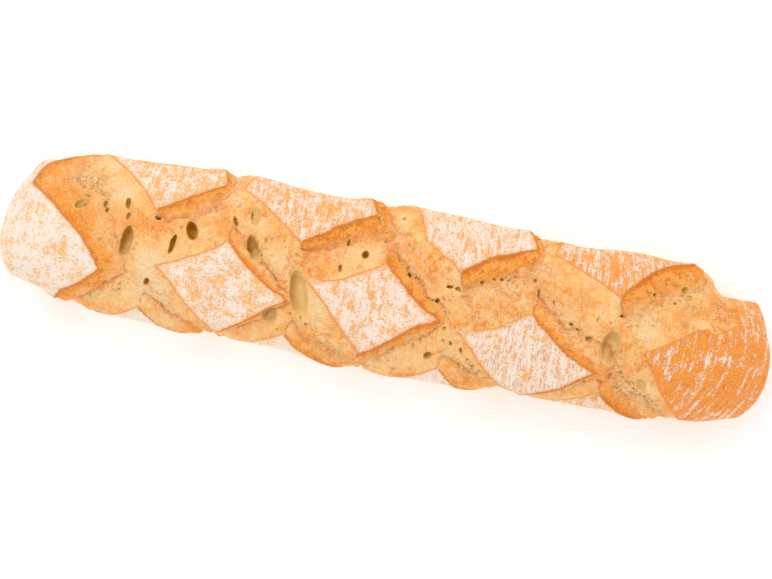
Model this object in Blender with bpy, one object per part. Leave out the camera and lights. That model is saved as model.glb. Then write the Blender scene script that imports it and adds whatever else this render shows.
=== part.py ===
"""Rustic loaf: a long bread slashed crosswise, so that floured plates of crust are left between openings.

The loaf lies along X on its flat base, at z = 0, and Z is up.
Lengths below are in millimetres, and the mesh is in metres.
A place on the crust is named by x and by its girth: the way round from the top line, positive towards +Y.
"""

import itertools
import math

import bmesh
import bpy
import numpy as np

METRE = 0.001

# The body without its openings
HALF_LENGTH = 210.0
BLUNT_END = 14.0  # length of the rounding at each end, seen from above
CROWN_END = 30.0  # the same for the crown, seen from the side
EQUATOR_HEIGHT = 27.5  # the widest line above the uncut base
END_EQUATOR_LIFT = 2.0
BASE_OVERSHOOT = 1.22  # how far the under half would reach below the base that cuts it flat
BASE_ROUNDING = 3.0
BASE_BLEND = 0.6
BASE_CUT = 0.8  # how much of the rounded underside is cut off, which leaves one flat face
CROWN_EXPONENT = 2.35  # 2 is an ellipse, more is boxier
UNDER_EXPONENT = 2.7
LEFT_END_SLANT = 0.12
SLANT_REACH = 60.0
GIRTH_RADIUS = 40.0  # girth in millimetres for each radian from the top line

# x, the near and the far edge of the outline seen from above, and the height of the crown above the equator
STATIONS = np.array(
    [
        (-204.0, -28.0, 28.0, 24.0),
        (-199.0, -29.6, 33.0, 25.0),
        (-188.0, -32.0, 35.0, 28.0),
        (-168.0, -38.4, 41.2, 30.5),
        (-140.0, -41.6, 43.4, 32.5),
        (-110.0, -42.4, 45.0, 34.0),
        (-82.0, -41.4, 46.0, 35.0),
        (-42.0, -43.8, 44.0, 35.5),
        (8.0, -45.6, 45.8, 36.0),
        (48.0, -45.0, 45.2, 35.5),
        (78.0, -41.6, 42.8, 34.5),
        (100.0, -43.2, 41.8, 34.0),
        (130.0, -42.8, 43.6, 33.0),
        (155.0, -42.6, 42.0, 32.0),
        (166.0, -40.4, 41.2, 31.5),
        (171.0, -40.0, 38.5, 30.5),
        (176.0, -39.8, 31.0, 29.5),
        (188.0, -36.8, 28.6, 27.5),
        (200.0, -33.0, 26.5, 25.0),
        (206.0, -31.0, 18.0, 24.0),
    ]
)

# Plates of crust, by their corners seen from above, anticlockwise.
# A corner past the outline lies as far down the side as it is past it.
DIAMONDS = [
    [(-124.5, -10.5), (-88.0, -39.0), (-51.0, -16.0), (-88.0, 11.0)],
    [(-43.5, -4.0), (-9.5, -36.0), (30.0, -11.5), (-3.0, 12.5)],
    [(41.0, -15.5), (77.0, -42.0), (118.0, -23.0), (78.0, 0.5)],
]
# Plates along the two sides: the upper edge of each, from left to right
FAR_EDGES = [
    [(-158.0, 41.0), (-129.0, 17.0), (-93.5, 37.0), (-99.0, 47.0)],
    [(-79.0, 47.0), (-84.0, 37.5), (-49.5, 15.0), (-11.5, 36.0), (-18.0, 47.0)],
    [(5.0, 46.5), (16.0, 29.5), (37.5, 16.0), (74.5, 34.5), (69.0, 44.0)],
    [(89.0, 43.0), (84.0, 34.0), (124.0, 17.0), (158.0, 41.0)],
]
NEAR_EDGES = [
    [(-152.0, -41.0), (-129.0, -33.0), (-106.0, -44.0)],
    [(-78.0, -43.5), (-50.0, -33.0), (-20.0, -47.0)],
    [(8.0, -45.5), (34.0, -35.0), (54.0, -45.0)],
    [(88.0, -42.0), (121.0, -33.0), (144.0, -43.5)],
]
FOOT = 64.0  # how far from the middle line the feet of these plates lie
FAR_FOOT_SPREAD = 10.0  # how far the feet lie outside the ends of the upper edge
NEAR_FOOT_SPREAD = 14.0
# The ends of the loaf are plates too, and these reach past it
LEFT_END = [
    (-153.5, -17.5),
    (-163.9, -4.3),
    (-196.0, 19.0),
    (-230.0, 60.0),
    (-230.0, -66.0),
    (-176.0, -66.0),
    (-171.0, -32.0),
]
RIGHT_END = [
    (141.0, -9.0),
    (167.0, -40.0),
    (172.0, -66.0),
    (240.0, -66.0),
    (240.0, 30.0),
    (187.0, 14.5),
]
# The scored part of the crust. All that lies outside it is whole crust
SCORED_ZONE = [
    (-199.0, 17.0),
    (-190.0, -10.0),
    (-176.0, -62.0),
    (174.0, -62.0),
    (180.0, -20.0),
    (190.0, 13.0),
    (180.0, 31.0),
    (166.0, 56.0),
    (-150.0, 56.0),
    (-178.0, 40.0),
    (-192.0, 32.0),
]
# The plates come in this order below: the diamonds, those along the far and the near side, and the two ends.
# How far the edges of each plate are bowed into it, as a share of their length
BOWS = (0.045, 0.045, 0.045, 0.0, 0.0, 0.0, 0.02, 0.0, 0.0, 0.0, 0.0, 0.0, 0.045)
# Where the crease beside the lifted edges of each plate runs, as a share of the opening:
# x and the place there, at the left and the right end of those edges
CREASES = [
    (-88.0, 0.30, -51.0, 0.16),
    (-3.0, 0.27, 30.0, 0.25),
    (78.0, 0.27, 118.0, 0.30),
    (-129.0, 0.10, -93.5, 0.30),
    (-49.5, 0.08, -11.5, 0.44),
    (37.5, 0.32, 74.5, 0.38),
    (124.0, 0.24, 158.0, 0.40),
    (-129.0, 0.22, -106.0, 0.50),
    (-50.0, 0.16, -20.0, 0.42),
    (34.0, 0.18, 54.0, 0.56),
    (121.0, 0.20, 144.0, 0.56),
    (-196.0, 0.44, -153.5, 0.40),
    (141.0, 0.36, 187.0, 0.36),
]
WHOLE_CREASE = (-200.0, 0.36, 200.0, 0.36)
CREASE_BLEND = 4.0
BOW_PIECES = 5

# The openings between the plates
OPENING_DEPTH = 5.2
FULL_DEPTH_GAP = 25.0  # an opening narrower than this is less deep
TURN_COST = 24.0  # distance added for facing the wrong way, which blends the two flanks round a corner
TURN_BLEND = 0.35
TURN_HEIGHT = -0.32  # where an edge turns, the crease is filled up to this share of the depth
# Across an opening, from its lifted edge (0) past the crease (1) to its thin edge.
# The heights are shares of its depth.
PROFILE_PLACE = (0.0, 0.08, 0.35, 0.62, 0.85, 1.0, 1.12, 1.45, 2.0, 2.65, 2.78)
PROFILE_HEIGHT = (0.10, 0.00, -0.06, -0.28, -0.74, -1.0, -0.62, -0.38, -0.14, -0.06, -0.14)
PROFILE_LAST = 1.78  # the length of the part of the profile past the crease
EDGE_REACH = 2.0  # how far the step at the edge of a plate reaches into the opening
LIP_LIFT = 1.7
LIP_REACH = 7.0
THIN_LIP_LIFT = 0.5
OPENING_LIP_SHARE = 0.35  # how much of a lip's lift goes on into the opening
RELIEF_ENDS = (95.0, 115.0)  # degrees from the top line, over which the relief fades towards the base

# Layers of noise: the wavelength, size and seed of each
EDGE_WOBBLE = ((26.0, 1.0, 11), (9.0, 0.6, 12))
ACROSS_SHIFT = (0.0, 57.0, 0.0)  # moves the wobble across away from the one along
CREASE_WANDER = ((22.0, 0.10, 41),)
SWELLING = ((70.0, 1.1, 21), (24.0, 0.5, 22))
FLANK_SWELLING = ((13.0, 0.9, 31), (6.5, 0.45, 32))
FLANK_START = (0.5, 5.0)

# The large gas cells that the openings cut through:
# x, y, half length along x, half length across, tilt in degrees, depth
GAS_CELLS = [
    (-142.0, -1.0, 3.6, 9.5, -8.0, 6.0),
    (-108.2, 12.3, 3.4, 6.0, 8.0, 6.5),
    (-74.5, 8.5, 3.2, 7.5, 18.0, 5.5),
    (-76.0, 26.0, 3.0, 5.5, 0.0, 3.5),
    (-60.5, -26.5, 4.8, 6.8, 0.0, 5.0),
    (-46.0, -13.0, 5.6, 14.0, 14.0, 5.0),
    (123.0, -10.5, 5.6, 10.5, 4.0, 6.0),
    (143.0, -26.5, 3.0, 4.6, 20.0, 3.0),
    (-171.0, 14.0, 5.0, 3.0, 40.0, 3.0),
]
CELL_WALL = (0.35, 1.15)  # where the wall of a cell begins and ends, as shares of its half length
CELL_START = (-0.5, 1.5)  # a plate covers the cells up to here

# The fine mesh that carries the relief, and what it is then thinned to
RINGS = 330
AROUND = 168
TOP_CROWDING = 0.5  # 0 spaces the points evenly round the girth, more draws them to the top
SPACING_STEPS = 4001
TRIANGLES = 9800
CUTTER_SIZE = (500.0, 200.0, 20.0)

CRUST_COLOUR = (0.80, 0.44, 0.17, 1.0)
CRUST_ROUGHNESS = 0.8


def smooth_step(value, low, high):
    """0 below low, 1 above high, and an even rise between them."""
    share = np.clip((value - low) / (high - low), 0.0, 1.0)
    return share * share * (3.0 - 2.0 * share)


def noise(points, wavelength, seed):
    """Smooth noise from -1 to 1: one value for each corner of a cubic lattice, blended inside each cube."""
    scaled = points / wavelength
    cell = np.floor(scaled).astype(np.int64)
    inside = scaled - cell
    inside = inside * inside * (3.0 - 2.0 * inside)
    total = np.zeros(len(points))
    for corner in itertools.product((0, 1), repeat=3):
        at = cell + np.array(corner)
        mixed = at[:, 0] * 73856093 ^ at[:, 1] * 19349663 ^ at[:, 2] * 83492791 ^ seed * 83177
        mixed = (mixed ^ (mixed >> 13)) * 1274126177 & 0x7FFFFFFF
        value = ((mixed ^ (mixed >> 16)) & 0xFFFF) / 0x7FFF - 1.0
        weight = np.prod(np.where(np.array(corner) == 1, inside, 1.0 - inside), axis=1)
        total += weight * value
    return total


def layers(points, rows):
    """The sum of several layers of noise, each with its wavelength, size and seed."""
    return sum(size * noise(points, wavelength, seed) for wavelength, size, seed in rows)


def station_curve(x, column):
    """A column of the stations, read along x with a smooth curve through them."""
    known = STATIONS[:, 0]
    values = STATIONS[:, column]
    slopes = np.gradient(values, known)
    at = np.clip(np.searchsorted(known, x) - 1, 0, len(known) - 2)
    width = known[at + 1] - known[at]
    share = np.clip((x - known[at]) / width, 0.0, 1.0)
    back = 1.0 - share
    rise = (3.0 - 2.0 * share) * share * share
    ends = values[at] * (1.0 - rise) + values[at + 1] * rise
    return ends + width * share * back * (slopes[at] * back - slopes[at + 1] * share)


def end_share(x, reach=BLUNT_END):
    """The size of a section as a share of the whole: 1 along the loaf, falling to 0 over the ends."""
    past = np.clip((np.abs(x) - (HALF_LENGTH - reach)) / reach, 0.0, 1.0)
    return np.sqrt(np.maximum(1.0 - past * past, 0.0))


def outline(x):
    """Half the width and the middle of the loaf at x, seen from above, without the rounding of the ends."""
    near = station_curve(x, 1)
    far = station_curve(x, 2)
    return (far - near) / 2.0, (far + near) / 2.0


def body_point(x, angle):
    """The point of the plain body at x and at this angle from the top line."""
    half_width, middle = outline(x)
    share = end_share(x)
    sine, cosine = np.sin(angle), np.cos(angle)
    crown = station_curve(x, 3) * end_share(x, CROWN_END)
    crown = crown * np.maximum(cosine, 0.0) ** (2.0 / CROWN_EXPONENT)
    under = EQUATOR_HEIGHT * BASE_OVERSHOOT * share * np.maximum(-cosine, 0.0) ** (2.0 / UNDER_EXPONENT)
    height = EQUATOR_HEIGHT + END_EQUATOR_LIFT * (1.0 - share) + crown - under
    rounded = np.sqrt(np.maximum(height, 0.0) ** 2 + BASE_ROUNDING**2) - BASE_ROUNDING
    rounded = rounded + BASE_ROUNDING * (1.0 - smooth_step(-cosine, 0.0, BASE_BLEND))
    height = np.where(cosine < 0.0, rounded, height)
    across = half_width * share * sine
    slant = LEFT_END_SLANT * smooth_step(-x, HALF_LENGTH - SLANT_REACH, HALF_LENGTH)
    return np.stack([x + slant * across, middle + across, height], axis=1)


def body_normal(x, angle):
    """The outward direction of the plain body, from two short steps along it."""
    step_x, step_angle = 0.5, 0.01
    inside = np.clip(x, -HALF_LENGTH + step_x, HALF_LENGTH - step_x)
    along = body_point(inside + step_x / 2, angle) - body_point(inside - step_x / 2, angle)
    round_it = body_point(inside, angle + step_angle) - body_point(inside, angle - step_angle)
    normal = np.cross(along, round_it)
    normal /= np.maximum(np.linalg.norm(normal, axis=1), 1e-9)[:, None]
    tip = smooth_step(np.abs(x), HALF_LENGTH - step_x, HALF_LENGTH)[:, None]
    normal = normal * (1.0 - tip) + np.stack([np.sign(x), 0.0 * x, 0.0 * x], axis=1) * tip
    return normal / np.linalg.norm(normal, axis=1)[:, None]


def girth_of(x, y):
    """The girth of a place given as it is seen from above. Past the outline it goes on down the side."""
    half_width, middle = outline(x)
    share = (y - middle) / half_width
    beyond = np.sign(share) * np.maximum(np.abs(share) - 1.0, 0.0) * half_width
    return GIRTH_RADIUS * np.arcsin(np.clip(share, -1.0, 1.0)) + beyond


def unrolled(corners, bow=0.0):
    """Corners seen from above as a closed line over x and girth, each edge bowed inwards."""
    corners = np.array(corners)
    flat = np.stack([corners[:, 0], girth_of(corners[:, 0], corners[:, 1])], axis=1)
    line = []
    for start, end in zip(flat, np.roll(flat, -1, axis=0)):
        inwards = np.array([start[1] - end[1], end[0] - start[0]])
        for share in np.arange(BOW_PIECES) / BOW_PIECES:
            line.append(start + (end - start) * share + inwards * bow * 4.0 * share * (1.0 - share))
    return np.array(line)


def side_plate(edge, spread):
    """The corners of a plate along one side, from its upper edge: the feet lie further down the side."""
    foot = math.copysign(FOOT, edge[0][1])
    corners = [*edge, (edge[-1][0] + spread, foot), (edge[0][0] - spread, foot)]
    return corners if foot > 0.0 else corners[::-1]


def all_plates():
    """The corners of every plate of crust, how far its edges are bowed, and where the crease beside it runs."""
    far = [side_plate(edge, FAR_FOOT_SPREAD) for edge in FAR_EDGES]
    near = [side_plate(edge, NEAR_FOOT_SPREAD) for edge in NEAR_EDGES]
    return zip([*DIAMONDS, *far, *near, LEFT_END, RIGHT_END], BOWS, CREASES)


def distance_to(flat, line):
    """The distance from each place to a closed line, less than 0 inside it, and the direction away."""
    nearest = np.full(len(flat), 1e9)
    away = np.zeros((len(flat), 2))
    inside = np.zeros(len(flat), bool)
    for start, end in zip(line, np.roll(line, -1, axis=0)):
        edge = end - start
        offset = flat - start
        share = np.clip(offset @ edge / (edge @ edge), 0.0, 1.0)
        gap = offset - share[:, None] * edge
        distance = np.hypot(gap[:, 0], gap[:, 1])
        closer = distance < nearest
        nearest = np.where(closer, distance, nearest)
        away = np.where(closer[:, None], gap, away)
        spans = (start[1] > flat[:, 1]) != (end[1] > flat[:, 1])
        if edge[1]:
            inside ^= spans & (flat[:, 0] < start[0] + edge[0] * (flat[:, 1] - start[1]) / edge[1])
    away /= np.maximum(nearest, 1e-6)[:, None]
    return np.where(inside, -nearest, nearest), np.where(inside[:, None], -away, away)


def plate_distances(flat):
    """The distance to the nearest plate, less than 0 inside it, then to the nearest lifted and thin edges,
    where the crease runs between those two, and how far the lifted edge is turning there."""
    nearest = np.full(len(flat), 1e9)
    lifted = np.full(len(flat), 1e9)
    thin = np.full(len(flat), 1e9)
    turning = np.zeros(len(flat))
    crease_place = np.zeros(len(flat))
    weights = np.zeros(len(flat))
    whole, out_of_it = distance_to(flat, unrolled(SCORED_ZONE))
    regions = [(-whole, -out_of_it, WHOLE_CREASE)]
    regions += [(*distance_to(flat, unrolled(corners, bow)), crease) for corners, bow, crease in all_plates()]
    for distance, away, crease in regions:
        to_the_right = smooth_step(away[:, 0], -TURN_BLEND, TURN_BLEND)
        from_lifted = np.abs(distance) + TURN_COST * (1.0 - to_the_right)
        nearest = np.minimum(nearest, distance)
        turning = np.where(from_lifted < lifted, 4.0 * to_the_right * (1.0 - to_the_right), turning)
        lifted = np.minimum(lifted, from_lifted)
        thin = np.minimum(thin, np.abs(distance) + TURN_COST * to_the_right)
        weight = np.exp(-from_lifted / CREASE_BLEND)
        crease_place = crease_place + weight * np.interp(flat[:, 0], crease[0::2], crease[1::2])
        weights = weights + weight
    return nearest, lifted, thin, crease_place / weights, turning


def opening_height(nearest, lifted, thin, crease_place, turning):
    """The height over the plain body: the lips inside the plates, and the profile of the opening between."""
    gap = lifted + thin
    place = lifted / (gap * crease_place)
    past = (place - 1.0) * PROFILE_LAST * crease_place / (1.0 - crease_place)
    place = np.where(place > 1.0, 1.0 + past, place)
    lifted = np.maximum(lifted, -nearest)  # an edge that lies inside another plate has no lip
    thin = np.maximum(thin, -nearest)
    depth = OPENING_DEPTH * smooth_step(gap, 0.0, FULL_DEPTH_GAP)
    share = np.interp(place, PROFILE_PLACE, PROFILE_HEIGHT)
    opening = depth * (share + turning * (np.maximum(share, TURN_HEIGHT) - share))
    lip = LIP_LIFT * np.exp(-((lifted / LIP_REACH) ** 2))
    lip = lip + THIN_LIP_LIFT * np.exp(-((thin / LIP_REACH) ** 2))
    edge = smooth_step(nearest, 0.0, EDGE_REACH)
    return lip * (1.0 - edge) + (opening + OPENING_LIP_SHARE * lip) * edge


def gas_cell_height(flat):
    """Bowls with steep walls where the openings cut through large gas cells."""
    height = np.zeros(len(flat))
    for x, y, half_x, half_y, tilt, depth in GAS_CELLS:
        place = flat - np.array([x, float(girth_of(np.array([x]), np.array([y]))[0])])
        turn = math.radians(tilt)
        across = (place[:, 0] * math.cos(turn) + place[:, 1] * math.sin(turn)) / half_x
        along = (place[:, 1] * math.cos(turn) - place[:, 0] * math.sin(turn)) / half_y
        reach = np.hypot(across, along)
        height = np.minimum(height, -depth * (1.0 - smooth_step(reach, *CELL_WALL)))
    return height


def relief(x, angle, points):
    """The height of the crust over the plain body, in millimetres."""
    flat = np.stack([x, angle * GIRTH_RADIUS], axis=1)
    wobble = [layers(points, EDGE_WOBBLE), layers(points + np.array(ACROSS_SHIFT), EDGE_WOBBLE)]
    wandered = flat + np.stack(wobble, axis=1)
    nearest, lifted, thin, crease_place, turning = plate_distances(wandered)
    crease_place = crease_place + layers(points, CREASE_WANDER)
    in_opening = smooth_step(nearest, *FLANK_START)
    height = opening_height(nearest, lifted, thin, crease_place, turning)
    height = height + layers(points, SWELLING) + in_opening * layers(points, FLANK_SWELLING)
    height = height + gas_cell_height(wandered) * smooth_step(nearest, *CELL_START)
    faded = smooth_step(np.degrees(np.abs(angle)), *RELIEF_ENDS)
    return height * (1.0 - faded) * end_share(x)


def even_spacing(share):
    """x for each share of the way along the loaf, with even steps over the blunt ends too."""
    x = HALF_LENGTH * np.sin(np.linspace(-math.pi / 2, math.pi / 2, SPACING_STEPS))
    steps = np.hypot(np.diff(x), np.diff(EQUATOR_HEIGHT * end_share(x)))
    way = np.concatenate([[0.0], np.cumsum(steps)])
    return np.interp(share * way[-1], way, x)


def shape_loaf(mesh):
    """Moves the vertices of a round ball with its poles on the Z axis to the loaf's crust."""
    ball = np.empty(len(mesh.vertices) * 3)
    mesh.vertices.foreach_get("co", ball)
    ball = ball.reshape(-1, 3)
    share = np.arccos(np.clip(-ball[:, 2], -1.0, 1.0)) / math.pi
    turn = np.arctan2(-ball[:, 1], ball[:, 0])  # the minus keeps the faces pointing out
    x = even_spacing(share)
    angle = turn - TOP_CROWDING * np.sin(turn)
    points = body_point(x, angle)
    points = points + body_normal(x, angle) * relief(x, angle, points)[:, None]
    points[:, 2] -= BASE_CUT
    points[:, 1] -= (points[:, 1].min() + points[:, 1].max()) / 2
    points[:, 0] -= (points[:, 0].min() + points[:, 0].max()) / 2
    mesh.vertices.foreach_set("co", (points * METRE).ravel())
    mesh.update()


def crust_material():
    """Baked crust, matt and golden brown."""
    material = bpy.data.materials.new("baked_crust")
    material.use_nodes = True
    shader = material.node_tree.nodes["Principled BSDF"]
    shader.inputs["Base Color"].default_value = CRUST_COLOUR
    shader.inputs["Roughness"].default_value = CRUST_ROUGHNESS
    shader.inputs["Metallic"].default_value = 0.0
    return material


def add_base_cutter(collection):
    """The box that cuts the underside flat at z = 0. It isn't part of the loaf, so it isn't rendered."""
    mesh = bpy.data.meshes.new("base_cutter")
    box = bmesh.new()
    bmesh.ops.create_cube(box, size=1.0)
    bmesh.ops.scale(box, vec=[side * METRE for side in CUTTER_SIZE], verts=box.verts)
    bmesh.ops.translate(box, vec=(0.0, 0.0, -CUTTER_SIZE[2] * METRE / 2), verts=box.verts)
    box.to_mesh(mesh)
    box.free()
    cutter = bpy.data.objects.new("base_cutter", mesh)
    cutter.hide_render = True
    cutter.display_type = "WIRE"
    collection.objects.link(cutter)
    return cutter


def add_loaf(collection):
    """The loaf: one solid, from a ball of many points that is shaped and then thinned."""
    mesh = bpy.data.meshes.new("loaf")
    ball = bmesh.new()
    bmesh.ops.create_uvsphere(ball, u_segments=AROUND, v_segments=RINGS, radius=1.0)
    bmesh.ops.triangulate(ball, faces=ball.faces)
    fine_triangles = len(ball.faces)
    ball.to_mesh(mesh)
    ball.free()
    shape_loaf(mesh)
    mesh.materials.append(crust_material())
    mesh.shade_smooth()
    loaf = bpy.data.objects.new("loaf", mesh)
    collection.objects.link(loaf)
    thinning = loaf.modifiers.new("thinning", "DECIMATE")
    thinning.ratio = TRIANGLES / fine_triangles
    flat_base = loaf.modifiers.new("flat_base", "BOOLEAN")
    flat_base.operation = "DIFFERENCE"
    flat_base.solver = "EXACT"
    flat_base.object = add_base_cutter(collection)
    return loaf


def main():
    for obj in list(bpy.data.objects):
        bpy.data.objects.remove(obj, do_unlink=True)
    collection = bpy.data.collections.new("rustic_loaf")
    bpy.context.scene.collection.children.link(collection)
    add_loaf(collection)


main()
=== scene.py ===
"""The looks of the rustic loaf: one fine mesh of crust with flour, torn crumb and gas cells, on a pale floor.

The form is the CAD part's, from the same named values, with smaller cells, pores and folds added.
Lengths below are in millimetres, and the meshes are in metres.
A place on the crust is named by x and by its girth: the way round from the top line, positive towards +Y.
"""

import itertools
import math

import bmesh
import bpy
import numpy as np
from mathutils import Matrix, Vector


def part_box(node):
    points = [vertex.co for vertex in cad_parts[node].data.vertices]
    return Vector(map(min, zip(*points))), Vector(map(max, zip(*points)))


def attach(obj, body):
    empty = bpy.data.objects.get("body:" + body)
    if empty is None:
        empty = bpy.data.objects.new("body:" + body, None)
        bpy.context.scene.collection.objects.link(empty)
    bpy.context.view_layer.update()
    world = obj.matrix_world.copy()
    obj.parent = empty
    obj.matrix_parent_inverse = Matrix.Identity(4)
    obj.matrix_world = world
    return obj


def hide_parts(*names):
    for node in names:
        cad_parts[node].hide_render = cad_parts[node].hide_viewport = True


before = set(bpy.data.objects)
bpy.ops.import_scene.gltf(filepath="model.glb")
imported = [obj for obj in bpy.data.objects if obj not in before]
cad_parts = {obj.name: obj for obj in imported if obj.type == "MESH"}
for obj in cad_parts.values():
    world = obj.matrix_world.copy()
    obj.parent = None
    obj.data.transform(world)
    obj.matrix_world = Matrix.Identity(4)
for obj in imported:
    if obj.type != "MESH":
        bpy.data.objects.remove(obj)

METRE = 0.001
WHITE = (1.0, 1.0, 1.0, 1.0)


def srgb(red, green, blue):
    """A colour read off a picture, from 0 to 255, as the linear colour that a shader takes."""
    shares = np.array([red, green, blue]) / 255.0
    linear = np.where(shares <= 0.04045, shares / 12.92, ((shares + 0.055) / 1.055) ** 2.4)
    return (*(float(value) for value in linear), 1.0)


# The body without its openings
HALF_LENGTH = 210.0
BLUNT_END = 14.0  # length of the rounding at each end, seen from above
CROWN_END = 30.0  # the same for the crown, seen from the side
EQUATOR_HEIGHT = 27.5  # the widest line above the uncut base
END_EQUATOR_LIFT = 2.0
BASE_OVERSHOOT = 1.22  # how far the under half would reach below the base that cuts it flat
BASE_ROUNDING = 3.0
BASE_BLEND = 0.6
BASE_CUT = 0.8  # how much of the rounded underside is cut off, which leaves one flat face
CROWN_EXPONENT = 2.35  # 2 is an ellipse, more is boxier
UNDER_EXPONENT = 2.7
LEFT_END_SLANT = 0.12
SLANT_REACH = 60.0
GIRTH_RADIUS = 40.0  # girth in millimetres for each radian from the top line

# x, the near and the far edge of the outline seen from above, and the height of the crown above the equator
STATIONS = np.array([
    (-204, -28, 28, 24), (-199, -29.6, 33, 25), (-188, -32, 35, 28),
    (-168, -38.4, 41.2, 30.5), (-140, -41.6, 43.4, 32.5), (-110, -42.4, 45, 34),
    (-82, -41.4, 46, 35), (-42, -43.8, 44, 35.5), (8, -45.6, 45.8, 36),
    (48, -45, 45.2, 35.5), (78, -41.6, 42.8, 34.5), (100, -43.2, 41.8, 34),
    (130, -42.8, 43.6, 33), (155, -42.6, 42, 32), (166, -40.4, 41.2, 31.5),
    (171, -40, 38.5, 30.5), (176, -39.8, 31, 29.5), (188, -36.8, 28.6, 27.5),
    (200, -33, 26.5, 25), (206, -31, 18, 24),
])
NEAR, FAR, CROWN = 1, 2, 3  # the columns of the stations after x

# Plates of crust, by their corners seen from above, anticlockwise.
# A corner past the outline lies as far down the side as it is past it.
DIAMONDS = [
    [(-124.5, -10.5), (-88, -39), (-51, -16), (-88, 11)],
    [(-43.5, -4), (-9.5, -36), (30, -11.5), (-3, 12.5)],
    [(41, -15.5), (77, -42), (118, -23), (78, 0.5)],
]
# Plates along the two sides: the upper edge of each, from left to right
FAR_EDGES = [
    [(-158, 41), (-129, 17), (-93.5, 37), (-99, 47)],
    [(-79, 47), (-84, 37.5), (-49.5, 15), (-11.5, 36), (-18, 47)],
    [(5, 46.5), (16, 29.5), (37.5, 16), (74.5, 34.5), (69, 44)],
    [(89, 43), (84, 34), (124, 17), (158, 41)],
]
NEAR_EDGES = [
    [(-152, -41), (-129, -33), (-106, -44)],
    [(-78, -43.5), (-50, -33), (-20, -47)],
    [(8, -45.5), (34, -35), (54, -45)],
    [(88, -42), (121, -33), (144, -43.5)],
]
FOOT = 64.0  # how far from the middle line the feet of these plates lie
FAR_FOOT_SPREAD = 10.0  # how far the feet lie outside the ends of the upper edge
NEAR_FOOT_SPREAD = 14.0
# The ends of the loaf are plates too, and these reach past it
LEFT_END = [
    (-153.5, -17.5), (-163.9, -4.3), (-196, 19), (-230, 60),
    (-230, -66), (-176, -66), (-171, -32),
]
RIGHT_END = [
    (141, -9), (167, -40), (172, -66), (240, -66),
    (240, 30), (187, 14.5),
]
# The scored part of the crust. All that lies outside it is whole crust
SCORED_ZONE = [
    (-199, 17), (-190, -10), (-176, -62), (174, -62),
    (180, -20), (190, 13), (180, 31), (166, 56),
    (-150, 56), (-178, 40), (-192, 32),
]
# The plates come in this order below: the diamonds, those along the far and the near side, and the two ends.
# How far the edges of each plate are bowed into it, as a share of their length
BOWS = (0.045, 0.045, 0.045, 0.0, 0.0, 0.0, 0.02, 0.0, 0.0, 0.0, 0.0, 0.0, 0.045)
# Where the crease beside the lifted edges of each plate runs, as a share of the opening:
# x and the place there, at the left and the right end of those edges
CREASES = [
    (-88, 0.3, -51, 0.16), (-3, 0.27, 30, 0.25),
    (78, 0.27, 118, 0.3), (-129, 0.1, -93.5, 0.3),
    (-49.5, 0.08, -11.5, 0.44), (37.5, 0.32, 74.5, 0.38),
    (124, 0.24, 158, 0.4), (-129, 0.22, -106, 0.5),
    (-50, 0.16, -20, 0.42), (34, 0.18, 54, 0.56),
    (121, 0.2, 144, 0.56), (-196, 0.44, -153.5, 0.4),
    (141, 0.36, 187, 0.36),
]
WHOLE_CREASE = (-200, 0.36, 200, 0.36)
CREASE_BLEND = 4.0
BOW_PIECES = 5

# The openings between the plates
OPENING_DEPTH = 5.2
FULL_DEPTH_GAP = 25.0  # an opening narrower than this is less deep
TURN_COST = 24.0  # distance added for facing the wrong way, which blends the two flanks round a corner
TURN_BLEND = 0.35
TURN_HEIGHT = -0.32  # where an edge turns, the crease is filled up to this share of the depth
# Across an opening, from its lifted edge (0) past the crease (1) to its thin edge.
# The heights are shares of its depth.
PROFILE_PLACE = (0.0, 0.08, 0.35, 0.62, 0.85, 1.0, 1.12, 1.45, 2.0, 2.65, 2.78)
PROFILE_HEIGHT = (0.1, 0.0, -0.06, -0.28, -0.74, -1.0, -0.62, -0.38, -0.14, -0.06, -0.14)
PROFILE_LAST = 1.78  # the length of the part of the profile past the crease
EDGE_REACH = 1.4  # how far the step at the edge of a plate reaches into the opening: less than in the part
LIP_LIFT = 1.7
LIP_REACH = 7.0
THIN_LIP_LIFT = 0.5
OPENING_LIP_SHARE = 0.35  # how much of a lip's lift goes on into the opening
RELIEF_ENDS = (95.0, 115.0)  # degrees from the top line, over which the relief fades towards the base

# Large numbers that mix the places of a lattice into random ones
LATTICE_FACTORS = (73856093, 19349663, 83492791)
SEED_FACTOR = 83177
MIXING_FACTOR = 1274126177
FAR_AWAY = 1e9

# Layers of noise: the wavelength, size and seed of each
EDGE_WOBBLE = ((26.0, 1.0, 11), (9.0, 0.6, 12))
ACROSS_SHIFT = (0.0, 57.0, 0.0)  # moves the wobble across away from the one along
CREASE_WANDER = ((22.0, 0.1, 41),)
SWELLING = ((70.0, 1.1, 21), (24.0, 0.5, 22))
FLANK_SWELLING = ((13.0, 0.9, 31), (6.5, 0.45, 32))
FLANK_START = (0.5, 5.0)

# The large gas cells that the openings cut through:
# x, y, half length along x, half length across, tilt in degrees, depth
GAS_CELLS = [
    (-142, -1, 3.6, 9.5, -8, 6), (-108.2, 12.3, 3.4, 6, 8, 6.5),
    (-74.5, 8.5, 3.2, 7.5, 18, 5.5), (-76, 26, 3, 5.5, 0, 3.5),
    (-60.5, -26.5, 4.8, 6.8, 0, 5), (-46, -13, 5.6, 14, 14, 5),
    (123, -10.5, 5.6, 10.5, 4, 6), (143, -26.5, 3, 4.6, 20, 3),
    (-171, 14, 5, 3, 40, 3),
]
CELL_WALL = (0.55, 1.04)  # where the wall of a cell begins and ends, as shares of its half length
CELL_START = (-0.5, 1.5)  # a plate covers the cells up to here

# Finer wander of the edges and of the crease, added to the part's
FINE_WOBBLE = ((4.5, 0.45, 13), (2.2, 0.28, 14))
FINE_WANDER = ((8.0, 0.08, 42), (3.5, 0.06, 43))
FINE_SWELLING = ((3.2, 0.12, 33), (1.7, 0.07, 34))
CRAGS = ((4.2, 0.4, 47), (2.1, 0.2, 48))
RAISED_RANGE = 2.4
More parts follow.
